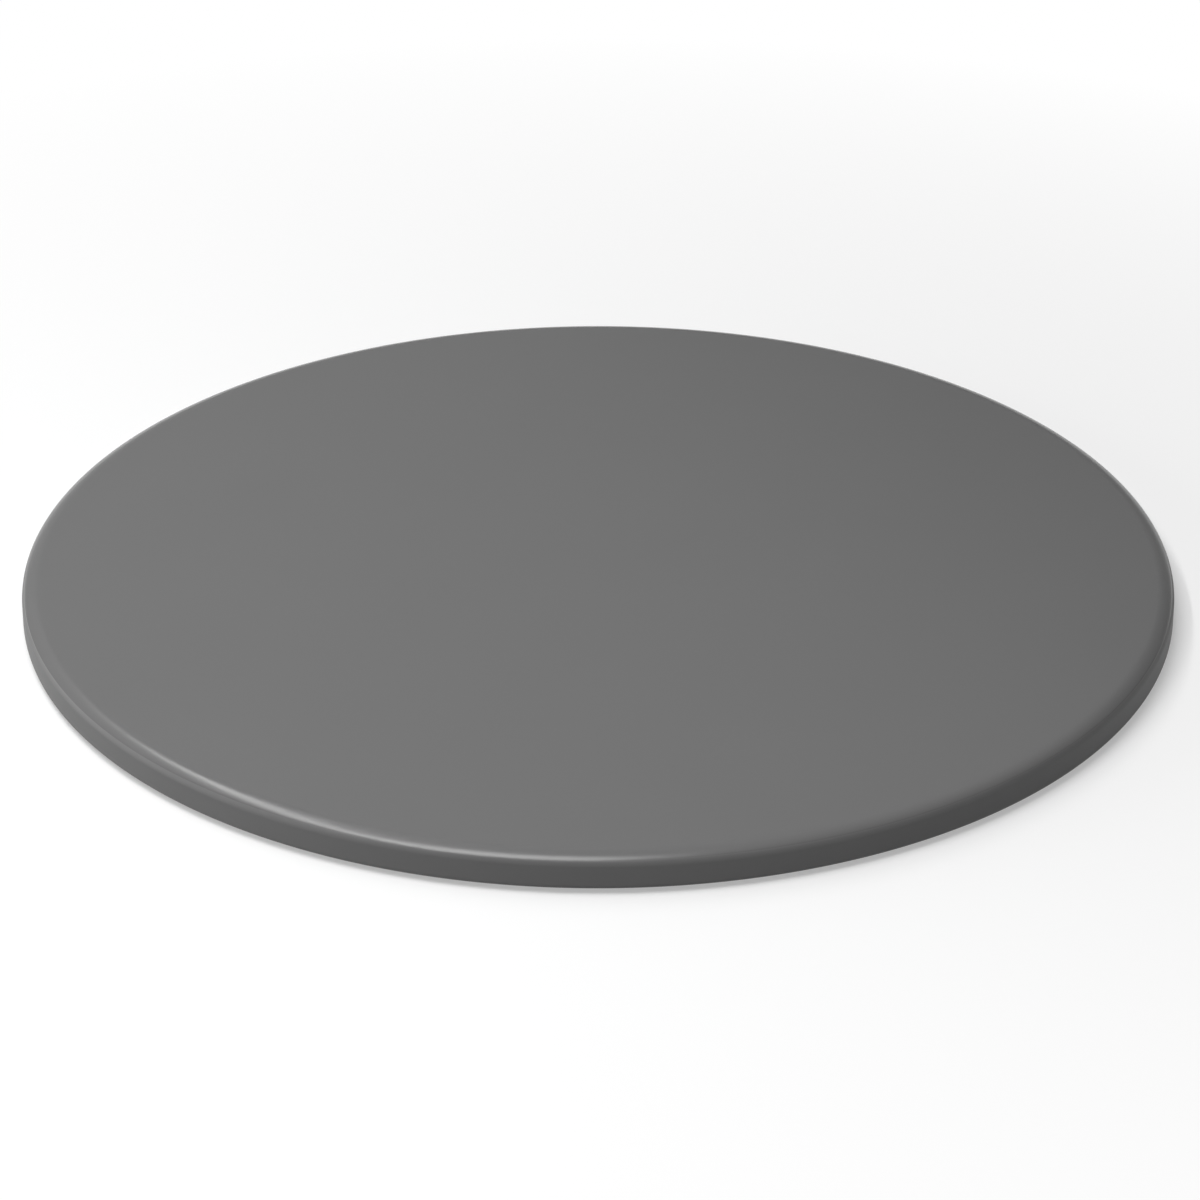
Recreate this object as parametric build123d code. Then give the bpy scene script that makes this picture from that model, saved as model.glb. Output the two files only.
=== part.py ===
import os

from build123d import *

# Round glazed pizza stone.
# A fired ceramic disc stands on two low foot rings turned in its underside. A thin coat of glaze
# covers all of it but the rings: a ring's land and the lower part of its flanks are wiped bare
# before firing, because the stone stands on them in the kiln. The bare rings part the coat into
# three: the outer coat over the baking face and the rim, a band between the rings and a disc
# inside the inner ring.
# Millimetres, +Z up. The origin is the centre of the plane that the foot rings stand on.

# Driving dimensions, measured over the glaze
DIAMETER = 370.0
RIM_THICKNESS = 11.0  # from the glazed underside to the baking face
FOOT_DROP = 1.5  # from the glazed underside down to the plane that the stone stands on
GLAZE = 0.4

# Rim, over the glaze: a wide shoulder that tightens into the corner, an upright wall and a heel
SHOULDER_RADIUS = 8.0
SHOULDER_TURN = 30.0  # degrees that the shoulder turns down from the baking face
CORNER_RADIUS = 2.6
HEEL_RADIUS = 1.8

# Foot rings, in the ceramic
OUTER_FOOT_INSET = 35.0  # from the glazed wall to the middle of the outer ring's land
INNER_FOOT_RADIUS = 62.0  # from the axis to the middle of the inner ring's land
LAND_WIDTH = 6.0
FLANK_ANGLE = 45.0  # degrees between a flank and the underside
ROOT_RADIUS = 1.2
LAND_EDGE_RADIUS = 0.5
WIPED_SHARE = 0.45  # bare part of a flank's height, as a share of the foot's drop

QUARTER_TURN = 90.0  # degrees

# The ceramic under the glaze
body_radius = DIAMETER / 2 - GLAZE
underside = FOOT_DROP + GLAZE
baking_face = FOOT_DROP + RIM_THICKNESS - GLAZE

# A foot ring's half widths, at the land and at the root of its flanks
land_half = LAND_WIDTH / 2
flank = Vector(1, 0).rotate(Axis.Z, FLANK_ANGLE)
root_half = land_half + underside * flank.X / flank.Y
foot_radii = (DIAMETER / 2 - OUTER_FOOT_INSET, INNER_FOOT_RADIUS)


def rim_arcs():
    """The shoulder and the corner in the ceramic, from the baking face out and down to the wall."""
    shoulder = SHOULDER_RADIUS - GLAZE
    corner = CORNER_RADIUS - GLAZE
    turned = Vector(1, 0).rotate(Axis.Z, -SHOULDER_TURN)
    reach = corner * (1 + turned.Y) - shoulder * turned.Y
    over = JernArc((body_radius - reach, baking_face), (1, 0), shoulder, -SHOULDER_TURN)
    down = JernArc(over @ 1, over % 1, corner, SHOULDER_TURN - QUARTER_TURN)
    return over, down


def underside_line(top_of_wall):
    """From the top of the wall round the heel and along both foot rings to the axis."""
    points = [top_of_wall, (body_radius, underside)]
    fillets = [HEEL_RADIUS - GLAZE]
    for radius in foot_radii:
        points += [
            (radius + root_half, underside),
            (radius + land_half, 0),
            (radius - land_half, 0),
            (radius - root_half, underside),
        ]
        fillets += [ROOT_RADIUS, LAND_EDGE_RADIUS, LAND_EDGE_RADIUS, ROOT_RADIUS]
    points.append((0, underside))
    return FilletPolyline(*points, radius=fillets)


def ceramic_section():
    """Half section of the ceramic, from the axis out to the wall."""
    over, down = rim_arcs()
    below = underside_line(down @ 1)
    axis_and_face = Polyline((0, underside), (0, baking_face), over @ 0)
    return make_face([over, down, below, axis_and_face])


def glaze_sections(ceramic):
    """Half sections of the three coats of glaze, the outermost first."""
    dipped = offset(ceramic, amount=GLAZE) - ceramic
    past_axis = Pos(-GLAZE / 2, baking_face / 2) * Rectangle(GLAZE, 2 * baking_face)
    coats = dipped - past_axis
    for radius in foot_radii:
        coats -= Pos(radius, 0) * Rectangle(2 * root_half, 2 * WIPED_SHARE * FOOT_DROP)
    return sorted(coats.faces(), key=lambda coat: coat.bounding_box().max.X, reverse=True)


def turned_solid(section):
    """The solid that a half section sweeps round the stone's axis."""
    return revolve(Plane.XZ * section, Axis.Z)


def main():
    ceramic = ceramic_section()
    outer, band, centre = glaze_sections(ceramic)
    parts = {
        "ceramic_body": turned_solid(ceramic),
        "outer_glaze": turned_solid(outer),
        "underside_glaze_band": turned_solid(band),
        "underside_glaze_centre": turned_solid(centre),
    }
    os.makedirs("parts", exist_ok=True)
    for name, solid in parts.items():
        export_step(solid, f"parts/{name}.step")


main()
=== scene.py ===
import math

import bmesh
import bpy
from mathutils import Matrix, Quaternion, Vector, noise


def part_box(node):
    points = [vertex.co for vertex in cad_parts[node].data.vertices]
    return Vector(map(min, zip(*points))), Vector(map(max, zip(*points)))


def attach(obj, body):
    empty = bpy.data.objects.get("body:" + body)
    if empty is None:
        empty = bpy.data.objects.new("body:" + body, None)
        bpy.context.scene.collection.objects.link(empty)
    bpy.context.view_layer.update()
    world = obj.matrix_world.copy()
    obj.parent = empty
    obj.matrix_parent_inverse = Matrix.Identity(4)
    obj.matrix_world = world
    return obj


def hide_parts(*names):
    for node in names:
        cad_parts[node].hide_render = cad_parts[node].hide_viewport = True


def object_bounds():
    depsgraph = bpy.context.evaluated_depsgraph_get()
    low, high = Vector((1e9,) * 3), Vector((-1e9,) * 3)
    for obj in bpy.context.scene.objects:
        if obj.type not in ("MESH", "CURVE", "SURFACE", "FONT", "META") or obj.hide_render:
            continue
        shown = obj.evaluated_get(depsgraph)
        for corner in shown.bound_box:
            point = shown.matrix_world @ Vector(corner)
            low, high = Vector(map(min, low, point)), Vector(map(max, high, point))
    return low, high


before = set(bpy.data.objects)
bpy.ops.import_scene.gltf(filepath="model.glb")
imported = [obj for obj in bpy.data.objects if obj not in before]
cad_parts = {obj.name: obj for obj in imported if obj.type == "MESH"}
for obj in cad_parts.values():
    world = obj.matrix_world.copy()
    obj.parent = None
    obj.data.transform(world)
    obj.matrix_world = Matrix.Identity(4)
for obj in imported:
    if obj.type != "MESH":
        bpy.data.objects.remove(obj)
cad_low, cad_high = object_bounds()

# The stone's sizes, read from the frame. Metres, +Z up, and the stone stands on z = 0.
_, ceramic_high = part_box("ceramic_body")
_, band_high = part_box("underside_glaze_band")
centre_low, centre_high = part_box("underside_glaze_centre")
STONE_RADIUS = min(cad_high.x, cad_high.y, -cad_low.x, -cad_low.y)
TOP = cad_high.z
GLAZE = cad_high.z - ceramic_high.z
CERAMIC_UNDERSIDE = centre_high.z
WIPED_HEIGHT = centre_low.z

# What the frame's boxes don't give: the rim over the glaze and the feet in the ceramic
SHOULDER_RADIUS = 0.008
SHOULDER_TURN = math.radians(30)
CORNER_RADIUS = 0.0026
HEEL_RADIUS = 0.0018
LAND_HALF = 0.003
ROOT_RADIUS = 0.0012
LAND_EDGE_RADIUS = 0.0005
FLANK_ANGLE = math.radians(45)

# The middles of the bare rings, from where the coats inside them stop on the flanks
FLANK_SLOPE = math.tan(FLANK_ANGLE)
OUTER_FOOT = band_high.x + LAND_HALF + WIPED_HEIGHT / FLANK_SLOPE
INNER_FOOT = centre_high.x + LAND_HALF + WIPED_HEIGHT / FLANK_SLOPE

# Where the glaze stops on a flank it has a rounded lip, and the sponge left its line uneven
LIP_LENGTH = 0.00045
LIP_STEPS = 8
WANDER = 0.0003
WANDER_WAVE = 0.018

# Mesh detail
SEGMENTS = 384
ARC_STEP = math.radians(4)
RING_GAP = 0.006
SUPPORT = 0.00015  # a ring this near to each arc keeps the arc's shading off the flat beside it
MERGE = 0.00001

# The glaze's greys, from 0 to 1: it clouds between two, and a fine mottle draws both to the middle
GLAZE_DARK = 0.1425
GLAZE_LIGHT = 0.1525
GLAZE_MIDDLE = 0.1475
CLOUD_SIZE = 0.045
MOTTLE_SIZE = 0.0016
MOTTLE_START = 0.35  # the noise's level where the mottle sets in
MOTTLE_END = 0.65  # and where it is full
SPECK_GREY = 0.10
SPECK_STRENGTH = 0.2
SPECK_GAP = 0.011
SPECK_RADIUS = 0.0003
SPECK_SHARE = 0.4

# The glaze's relief: a slight orange peel under a finer tooth
PEEL_SIZE = 0.0035
PEEL_DEPTH = 0.000004
TOOTH_SIZE = 0.0005
TOOTH_DEPTH = 0.0000007

# The glaze's roughness: satin on the face and the shoulder, drier where it ran thin down the wall
SATIN = 0.26
DRY = 0.54
DRY_START = math.cos(math.radians(43))
DRY_END = math.cos(math.radians(52))

# The bare clay's colours, its grog and its relief of grain and open pores
CLAY_DARK = (0.50, 0.42, 0.31, 1)
CLAY_LIGHT = (0.60, 0.53, 0.42, 1)
CLAY_CLOUD_SIZE = 0.02
CLAY_ROUGHNESS = 0.88
GROG = (0.30, 0.22, 0.15, 1)
GROG_STRENGTH = 0.5
GROG_GAP = 0.0011
GROG_RADIUS = 0.0003
GROG_SHARE = 0.5
PORE_GAP = 0.0016
PORE_RADIUS = 0.0002
PORE_SHARE = 0.6
PORE_DEPTH = 0.00008
GRAIN_SIZE = 0.0006
GRAIN_DEPTH = 0.00004

# What both materials share
REFRACTION = 1.5
SMALLEST_SPOT_SHARE = 1 / 3  # a spot's least radius, as a share of the greatest

# The photograph's frame and the camera that fits it
PHOTO_SIDE = 1200  # px
FOCAL_LENGTH = 4578  # px
TARGET_PX = (598.2, 575.4)  # where the middle of the rim's height on the axis lands
CAMERA_ELEVATION = math.radians(27.7)
CAMERA_DISTANCE = 8 * STONE_RADIUS

# Floor and surroundings, where a radiance of 1 is white
FLOOR_HALF = 12.0
FLOOR_COLOUR = 0.9
FLOOR_ROUGHNESS = 0.9
FLOOR_BOUNCE = 0.33  # what the floor gives back to the stone
FLOOR_GLOW = 0.4  # the share of plain white in the floor's look beside the stone
GLOW_START = 0.2  # which rises from this far off the axis
GLOW_END = 0.5  # and is whole from here on
BACKDROP_TOP = math.sin(math.radians(7.5))  # the backdrop looks white up to this rise
BACKDROP_END = math.sin(math.radians(9.5))  # and dim from here upwards
DIM = 0.05

# Level softboxes that hang over the stone, as x, y, height, width, length, spin and radiance
OVERHEAD = [
    (-0.66, 0, 1.3, 0.11, 2.4, -2, 15),
    (-0.26, -0.48, 1.3, 0.64, 0.97, -6, 6.6),
]

# Soft panels that face the stone, as azimuth from the right, elevation, distance, width, height,
# spin and radiance
PANELS = [
    (174, 6, 1.6, 1.55, 1, 15, 2.4),
    (108, 50, 1.75, 2.6, 2.1, -56, 0.29),
]


def rounded(corners):
    """Half section line through corners (radius, height, fillet), with an arc at each inner one."""
    points = [Vector(corner[:2]) for corner in corners]
    line = [points[0]]
    for i in range(1, len(corners) - 1):
        here = points[i]
        fillet = corners[i][2]
        back = (points[i - 1] - here).normalized()
        ahead = (points[i + 1] - here).normalized()
        turn = math.pi - back.angle(ahead)
        centre = here + (back + ahead).normalized() * fillet / math.cos(turn / 2)
        spoke = here + back * fillet * math.tan(turn / 2) - centre
        way = math.copysign(turn, spoke.cross(here - centre))
        steps = math.ceil(turn / ARC_STEP)
        line += straight(line[-1], centre + spoke)
        line += [centre + spun(spoke, way * step / steps) for step in range(steps + 1)]
    line += straight(line[-1], points[-1]) + [points[-1]]
    return [a for a, b in zip(line, line[1:]) if (b - a).length > MERGE] + [points[-1]]


def spun(spoke, angle):
    """The spoke turned about its arc's centre."""
    cosine, sine = math.cos(angle), math.sin(angle)
    return Vector((spoke.x * cosine - spoke.y * sine, spoke.x * sine + spoke.y * cosine))


def straight(start, end):
    """Points inside a straight run, with a support beside each end."""
    length = (end - start).length
    if length < 3 * SUPPORT:
        return []
    count = max(1, round(length / RING_GAP))
    places = [SUPPORT] + [length * i / count for i in range(1, count)] + [length - SUPPORT]
    return [start.lerp(end, place / length) for place in places]


def rim_corners(inset):
    """The shoulder, the corner and the heel, this far under the glaze's surface."""
    shoulder, corner, heel = (r - inset for r in (SHOULDER_RADIUS, CORNER_RADIUS, HEEL_RADIUS))
    corner_turn = math.pi / 2 - SHOULDER_TURN
    slope = shoulder * math.tan(SHOULDER_TURN / 2) + corner * math.tan(corner_turn / 2)
    radius, top = STONE_RADIUS - inset, TOP - inset
    return [
        (radius - slope * math.cos(SHOULDER_TURN), top, shoulder),
        (radius, top - slope * math.sin(SHOULDER_TURN), corner),
        (radius, CERAMIC_UNDERSIDE - GLAZE + inset, heel),
    ]


def root_corner(foot, side, inset):
    """Where a foot's flank meets the underside; side is 1 outside the ring and -1 inside it."""
    lift = GLAZE - inset
    run = LAND_HALF + CERAMIC_UNDERSIDE / FLANK_SLOPE + lift * math.tan(FLANK_ANGLE / 2)
    return (foot + side * run, CERAMIC_UNDERSIDE - lift, ROOT_RADIUS - lift)


def on_flank(foot, side, climb, lift):
    """The point this far up a flank from where the glaze stops, and this far off the ceramic."""
    run = climb * math.cos(FLANK_ANGLE) + lift * math.sin(FLANK_ANGLE)
    rise = climb * math.sin(FLANK_ANGLE) - lift * math.cos(FLANK_ANGLE)
    return (foot + side * (LAND_HALF + WIPED_HEIGHT / FLANK_SLOPE + run), WIPED_HEIGHT + rise)


def stop(foot, side, inset):
    """The end of a coat's line on a flank, before its lip."""
    lift = GLAZE - inset
    return on_flank(foot, side, LIP_LENGTH * lift / GLAZE, lift)


def lip(foot, side):
    """The glaze's rounded end on a flank, between its surface and the ceramic."""
    angles = [math.pi / 2 * step / LIP_STEPS for step in range(1, LIP_STEPS)]
    return [
        Vector(on_flank(foot, side, LIP_LENGTH * (1 - math.sin(a)), GLAZE * math.cos(a)))
        for a in angles
    ]


def ceramic_section():
    """Half section of the ceramic: from the axis over the face, round the rim, along the feet."""
    corners = [(0, ceramic_high.z)] + rim_corners(GLAZE)
    for foot in (OUTER_FOOT, INNER_FOOT):
        corners += [
            root_corner(foot, 1, GLAZE),
            (foot + LAND_HALF, 0, LAND_EDGE_RADIUS),
            (foot - LAND_HALF, 0, LAND_EDGE_RADIUS),
            root_corner(foot, -1, GLAZE),
        ]
    return rounded(corners + [(0, CERAMIC_UNDERSIDE)])


def outer_section():
    """Half section of the coat over the face and the rim, as far as the outer foot."""
    def line(inset):
        root = root_corner(OUTER_FOOT, 1, inset)
        return rounded([(0, TOP - inset)] + rim_corners(inset) + [root, stop(OUTER_FOOT, 1, inset)])
    return line(0) + lip(OUTER_FOOT, 1) + line(GLAZE)[::-1]


def band_section():
    """Half section of the coat between the feet."""
    def line(inset):
        outer, inner = (OUTER_FOOT, -1, inset), (INNER_FOOT, 1, inset)
        return rounded([stop(*outer), root_corner(*outer), root_corner(*inner), stop(*inner)])
    return line(0) + lip(INNER_FOOT, 1) + line(GLAZE)[::-1] + lip(OUTER_FOOT, -1)[::-1]


def centre_section():
    """Half section of the coat inside the inner foot, from the axis on its surface and back."""
    def line(inset):
        outer = (INNER_FOOT, -1, inset)
        axis = (0, CERAMIC_UNDERSIDE - GLAZE + inset)
        return rounded([axis, root_corner(*outer), stop(*outer)])
    return line(0) + lip(INNER_FOOT, -1) + line(GLAZE)[::-1]


def wandered(radius, height, angle):
    """Where a point of the glaze goes when its line on the flank wanders at this angle."""
    surface = CERAMIC_UNDERSIDE - GLAZE
    share = min(1, max(0, (surface - height) / (surface - WIPED_HEIGHT)))
    foot = min(OUTER_FOOT, INNER_FOOT, key=lambda ring: abs(radius - ring))
    place = Vector((math.cos(angle), math.sin(angle), foot / STONE_RADIUS)) * foot / WANDER_WAVE
    climb = share * WANDER * (0.5 + 0.5 * noise.noise(place))
    side = math.copysign(1, radius - foot)
    return radius + side * climb * math.cos(FLANK_ANGLE), height + climb * math.sin(FLANK_ANGLE)


def turned(name, section, shaped=None):
    """The mesh that a half section sweeps, closed at the axis or by the section itself."""
    mesh = bmesh.new()
    rings = []
    for radius, height in section:
        if radius < MERGE:
            rings.append([mesh.verts.new((0, 0, height))] * SEGMENTS)
            continue
        rings.append([])
        for i in range(SEGMENTS):
            angle = math.tau * i / SEGMENTS
            r, z = shaped(radius, height, angle) if shaped else (radius, height)
            rings[-1].append(mesh.verts.new((r * math.cos(angle), r * math.sin(angle), z)))
    on_axis = section[0].x < MERGE
    for a, b in zip(rings, rings[1:] if on_axis else rings[1:] + rings[:1]):
        for i in range(SEGMENTS):
            j = (i + 1) % SEGMENTS
            mesh.faces.new(dict.fromkeys((a[i], a[j], b[j], b[i]))).smooth = True
    bmesh.ops.recalc_face_normals(mesh, faces=mesh.faces)
    data = bpy.data.meshes.new(name)
    mesh.to_mesh(data)
    mesh.free()
    piece = bpy.data.objects.new(name, data)
    bpy.context.scene.collection.objects.link(piece)
    return piece


def put_in_place(piece, material, node):
    """The piece gets its material, stands for its CAD node and rides on the part's one body."""
    piece.data.materials.append(material)
    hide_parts(node)
    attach(piece, "root")


class Graph:
    """A material's nodes. An input's value is a number, a colour or another node's output."""

    def __init__(self, name):
        self.material = bpy.data.materials.new(name)
        self.material.use_nodes = True
        self.tree = self.material.node_tree
        self.shader = self.tree.nodes["Principled BSDF"]
        self.place = self.add("ShaderNodeTexCoord").outputs["Object"]

    def add(self, kind, inputs=(), **settings):
        node = self.tree.nodes.new(kind)
        for key, value in settings.items():
            setattr(node, key, value)
        self.fill(node, dict(inputs))
        return node

    def fill(self, node, inputs):
        for key, value in inputs.items():
            if isinstance(value, bpy.types.NodeSocket):
                self.tree.links.new(value, node.inputs[key])
            else:
                node.inputs[key].default_value = value

    def math(self, operation, a, b):
        return self.add("ShaderNodeMath", {0: a, 1: b}, operation=operation).outputs[0]

    def ramp(self, value, start, end, low=0.0, high=1.0):
        """The value's range from start to end, mapped to low and high and held beyond."""
        ends = {"From Min": start, "From Max": end, "To Min": low, "To Max": high}
        return self.add("ShaderNodeMapRange", {"Value": value, **ends}).outputs[0]

    def facing_up(self):
        """How far the surface faces up: 1 on a level face, 0 on a wall, less under the piece."""
        normal = self.add("ShaderNodeTexCoord").outputs["Normal"]
        return self.add("ShaderNodeSeparateXYZ", {0: normal}).outputs["Z"]

    def noise(self, size, detail=2.0):
        """Noise whose lumps are about this size, from 0 to 1."""
        inputs = {"Vector": self.place, "Scale": 1 / size, "Detail": detail}
        return self.add("ShaderNodeTexNoise", inputs).outputs["Fac"]

    def spots(self, gap, radius, share):
        """1 inside small spots in this share of cells that are this far apart, and 0 elsewhere."""
        cells = self.add("ShaderNodeTexVoronoi", {"Vector": self.place, "Scale": 1 / gap})
        chosen = self.add("ShaderNodeSeparateColor", {0: cells.outputs["Color"]}).outputs
        size = self.ramp(chosen[1], 0, 1, SMALLEST_SPOT_SHARE * radius / gap, radius / gap)
        inside = self.math("LESS_THAN", cells.outputs["Distance"], size)
        return self.math("MULTIPLY", inside, self.math("LESS_THAN", chosen[0], share))

    def tinted(self, factor, colour, other):
        return self.add("ShaderNodeMixRGB", {0: factor, 1: colour, 2: other}).outputs[0]

    def bump(self, height, depth, normal=None):
        inputs = {"Height": height, "Distance": depth, "Strength": 1.0}
        if normal:
            inputs["Normal"] = normal
        return self.add("ShaderNodeBump", inputs).outputs[0]


def grey(level):
    return (level, level, level, 1)


def glaze_material():
    """Satin grey glaze: faint clouding and mottle, a fine orange peel and a few specks."""
    graph = Graph("satin_glaze")
    colour = graph.tinted(graph.noise(CLOUD_SIZE), grey(GLAZE_DARK), grey(GLAZE_LIGHT))
    mottle = graph.ramp(graph.noise(MOTTLE_SIZE, detail=4), MOTTLE_START, MOTTLE_END)
    colour = graph.tinted(mottle, colour, grey(GLAZE_MIDDLE))
    specks = graph.spots(SPECK_GAP, SPECK_RADIUS, SPECK_SHARE)
    speck = graph.math("MULTIPLY", specks, SPECK_STRENGTH)
    colour = graph.tinted(speck, colour, grey(SPECK_GREY))
    peel = graph.bump(graph.noise(PEEL_SIZE), PEEL_DEPTH)
    graph.fill(graph.shader, {
        "Base Color": colour,
        "Roughness": graph.ramp(graph.facing_up(), DRY_START, DRY_END, SATIN, DRY),
        "Normal": graph.bump(graph.noise(TOOTH_SIZE, detail=3), TOOTH_DEPTH, peel),
        "IOR": REFRACTION,
    })
    return graph.material


def ceramic_material():
    """Bare fired clay: buff, dry, with fine grog and open pores."""
    graph = Graph("bare_ceramic")
    colour = graph.tinted(graph.noise(CLAY_CLOUD_SIZE, detail=4), CLAY_DARK, CLAY_LIGHT)
    grog = graph.math("MULTIPLY", graph.spots(GROG_GAP, GROG_RADIUS, GROG_SHARE), GROG_STRENGTH)
    solid = graph.math("SUBTRACT", 1.0, graph.spots(PORE_GAP, PORE_RADIUS, PORE_SHARE))
    pores = graph.bump(solid, PORE_DEPTH)
    graph.fill(graph.shader, {
        "Base Color": graph.tinted(grog, colour, GROG),
        "Roughness": CLAY_ROUGHNESS,
        "Normal": graph.bump(graph.noise(GRAIN_SIZE, detail=5), GRAIN_DEPTH, pores),
        "IOR": REFRACTION,
    })
    return graph.material


def seen(tree):
    """1 for the camera's own rays and for those by which gloss and glass show the surroundings."""
    path = tree.nodes.new("ShaderNodeLightPath").outputs
    total = path["Is Camera Ray"]
    for name in ("Is Glossy Ray", "Is Transmission Ray"):
        most = tree.nodes.new("ShaderNodeMath")
        most.operation = "MAXIMUM"
        tree.links.new(total, most.inputs[0])
        tree.links.new(path[name], most.inputs[1])
        total = most.outputs[0]
    return total


def make_floor():
    """A pale floor that keeps the stone's shadow and fades to plain white round it."""
    data = bpy.data.meshes.new("floor")
    corners = [(x * FLOOR_HALF, y * FLOOR_HALF, 0) for x, y in ((-1, -1), (1, -1), (1, 1), (-1, 1))]
    data.from_pydata(corners, [], [range(4)])
    floor = bpy.data.objects.new("floor", data)
    bpy.context.scene.collection.objects.link(floor)
    graph = Graph("pale_floor")
    look = seen(graph.tree)
    colour = graph.ramp(look, 0, 1, FLOOR_BOUNCE, FLOOR_COLOUR)
    graph.fill(graph.shader, {"Base Color": colour, "Roughness": FLOOR_ROUGHNESS})
    away = graph.add("ShaderNodeVectorMath", {0: graph.place}, operation="LENGTH").outputs["Value"]
    glow = graph.ramp(away, GLOW_START, GLOW_END, FLOOR_GLOW, 1.0)
    white = graph.add("ShaderNodeEmission", {"Color": grey(1), "Strength": 1.0}).outputs[0]
    share = graph.math("MULTIPLY", glow, look)
    mix = graph.add("ShaderNodeMixShader", {0: share, 1: graph.shader.outputs[0], 2: white})
    output = graph.tree.nodes["Material Output"]
    graph.tree.links.new(mix.outputs[0], output.inputs["Surface"])
    data.materials.append(graph.material)


def make_world():
    """A dim studio whose low backdrop looks white."""
    world = bpy.data.worlds.new("studio")
    bpy.context.scene.world = world
    world.use_nodes = True
    tree = world.node_tree
    direction = tree.nodes.new("ShaderNodeTexCoord").outputs["Generated"]
    height = tree.nodes.new("ShaderNodeSeparateXYZ")
    tree.links.new(direction, height.inputs[0])
    backdrop = tree.nodes.new("ShaderNodeMapRange")
    backdrop.inputs["From Min"].default_value = BACKDROP_TOP
    backdrop.inputs["From Max"].default_value = BACKDROP_END
    backdrop.inputs["To Min"].default_value = 1.0
    backdrop.inputs["To Max"].default_value = DIM
    tree.links.new(height.outputs["Z"], backdrop.inputs["Value"])
    strength = tree.nodes.new("ShaderNodeMapRange")
    strength.inputs["To Min"].default_value = DIM
    tree.links.new(seen(tree), strength.inputs["Value"])
    tree.links.new(backdrop.outputs[0], strength.inputs["To Max"])
    background = tree.nodes["Background"]
    background.inputs["Color"].default_value = grey(1)
    tree.links.new(strength.outputs[0], background.inputs["Strength"])


def soft_light(place, turn, width, height, radiance):
    """A rectangular soft light, with its radiance where a white card is 1."""
    light = bpy.data.lights.new("softbox", "AREA")
    light.shape = "RECTANGLE"
    light.size = width
    light.size_y = height
    light.energy = radiance * math.pi * width * height
    lamp = bpy.data.objects.new("softbox", light)
    bpy.context.scene.collection.objects.link(lamp)
    lamp.location = place
    lamp.rotation_euler = turn.to_euler()
    lamp.visible_camera = False


def spin_about_aim(degrees):
    return Quaternion((0, 0, 1), math.radians(degrees))


def overhead(x, y, height, width, length, spin, radiance):
    """A level softbox that shines straight down."""
    soft_light((x, y, height), spin_about_aim(spin), width, length, radiance)


def panel(azimuth, elevation, distance, width, height, spin, radiance):
    """A soft panel that faces the stone."""
    turn, lift = math.radians(azimuth), math.radians(elevation)
    way = Vector((math.cos(turn) * math.cos(lift), math.sin(turn) * math.cos(lift), math.sin(lift)))
    facing = way.to_track_quat("Z", "Y") @ spin_about_aim(spin)
    soft_light(way * distance, facing, width, height, radiance)


def make_camera():
    """The photograph's camera, aimed so that the rim's middle on the axis lands where it does."""
    camera = bpy.data.objects.new("camera", bpy.data.cameras.new("camera"))
    bpy.context.scene.collection.objects.link(camera)
    camera.data.lens = camera.data.sensor_width * FOCAL_LENGTH / PHOTO_SIDE
    target = Vector((0, 0, (CERAMIC_UNDERSIDE - GLAZE + TOP) / 2))
    back = Vector((0, -math.cos(CAMERA_ELEVATION), math.sin(CAMERA_ELEVATION)))
    up = Vector((0, math.sin(CAMERA_ELEVATION), math.cos(CAMERA_ELEVATION)))
    metres_per_px = CAMERA_DISTANCE / FOCAL_LENGTH
    right_px = PHOTO_SIDE / 2 - TARGET_PX[0]
    down_px = PHOTO_SIDE / 2 - TARGET_PX[1]
    aim = target + (Vector((1, 0, 0)) * right_px - up * down_px) * metres_per_px
    camera.location = target + back * CAMERA_DISTANCE
    camera.rotation_euler = (camera.location - aim).to_track_quat("Z", "Y").to_euler()
    bpy.context.scene.camera = camera


def main():
    glaze = glaze_material()
    ceramic = turned("ceramic", ceramic_section())
    put_in_place(ceramic, ceramic_material(), "ceramic_body")
    coats = {
        "outer_glaze": outer_section(),
        "underside_glaze_band": band_section(),
        "underside_glaze_centre": centre_section(),
    }
    for node, section in coats.items():
        piece = turned(f"{node}_coat", section, wandered)
        put_in_place(piece, glaze, node)
    make_floor()
    make_world()
    for box in OVERHEAD:
        overhead(*box)
    for box in PANELS:
        panel(*box)
    make_camera()
    bpy.context.scene.view_settings.view_transform = "Standard"


main()
